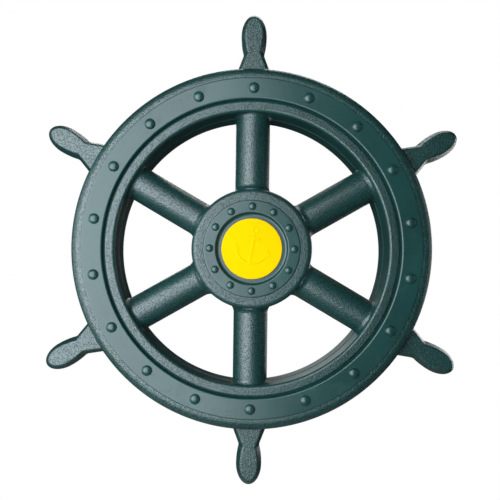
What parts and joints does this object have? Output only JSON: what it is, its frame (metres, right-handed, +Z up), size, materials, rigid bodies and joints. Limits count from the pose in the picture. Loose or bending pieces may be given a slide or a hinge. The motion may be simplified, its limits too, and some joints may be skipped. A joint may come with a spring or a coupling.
{
  "type": "playground ship's wheel",
  "caption": "Moulded plastic ship's wheel for play equipment: hollow round rim with a riveted band, spokes, grip handles, riveted hub with a yellow cap, turning on a wall plate.",
  "frame": {"origin": "centre of the wall plate's back face, on the wheel's axis", "axes": "+Y along the wheel's axis, from the wheel into the wall; the wheel faces -Y; +Z up along the spoke that points up at rest"},
  "size_m": [0.471, 0.09, 0.541],
  "materials": {
    "grained_green": "moulded leather grain, dark green",
    "smooth_green": "smooth, semi-gloss, dark green",
    "yellow": "smooth, satin yellow",
    "black_plastic": "moulded, black",
    "galvanised_steel": "hot-dip galvanised, dull",
    "bright_steel": "turned, bright"
  },
  "bodies": {
    "mount": {"wall_plate": "galvanised_steel", "spindle": "bright_steel", "rear_washer": "bright_steel", "front_washer": "bright_steel", "lock_nut": "bright_steel"},
    "wheel": {"rim_front_shell": "grained_green", "rim_rear_shell": "grained_green", "rim_band": "smooth_green", "rim_rivet_01": "smooth_green", "rim_rivet_02": "smooth_green", "rim_rivet_03": "smooth_green", "rim_rivet_04": "smooth_green", "rim_rivet_05": "smooth_green", "rim_rivet_06": "smooth_green", "rim_rivet_07": "smooth_green", "rim_rivet_08": "smooth_green", "rim_rivet_09": "smooth_green", "rim_rivet_10": "smooth_green", "rim_rivet_11": "smooth_green", "rim_rivet_12": "smooth_green", "rim_rivet_13": "smooth_green", "rim_rivet_14": "smooth_green", "rim_rivet_15": "smooth_green", "rim_rivet_16": "smooth_green", "rim_rivet_17": "smooth_green", "rim_rivet_18": "smooth_green", "spoke_1": "grained_green", "spoke_2": "grained_green", "spoke_3": "grained_green", "spoke_4": "grained_green", "spoke_5": "grained_green", "spoke_6": "grained_green", "handle_1": "grained_green", "handle_2": "grained_green", "handle_3": "grained_green", "handle_4": "grained_green", "handle_5": "grained_green", "handle_6": "grained_green", "hub_front_shell": "grained_green", "hub_rear_shell": "grained_green", "hub_ring": "smooth_green", "hub_rivet_01": "smooth_green", "hub_rivet_02": "smooth_green", "hub_rivet_03": "smooth_green", "hub_rivet_04": "smooth_green", "hub_rivet_05": "smooth_green", "hub_rivet_06": "smooth_green", "hub_rivet_07": "smooth_green", "hub_rivet_08": "smooth_green", "hub_rivet_09": "smooth_green", "hub_rivet_10": "smooth_green", "hub_rivet_11": "smooth_green", "hub_rivet_12": "smooth_green", "centre_cap": "yellow", "hub_core": "black_plastic", "rear_bush": "black_plastic", "front_bush": "black_plastic"}
  },
  "joints": [
    {"name": "wheel_spin", "type": "hinge", "parent": "mount", "child": "wheel", "pos_m": [0, -0.0581, 0], "axis": [0, -1, 0], "continuous": true}
  ]
}
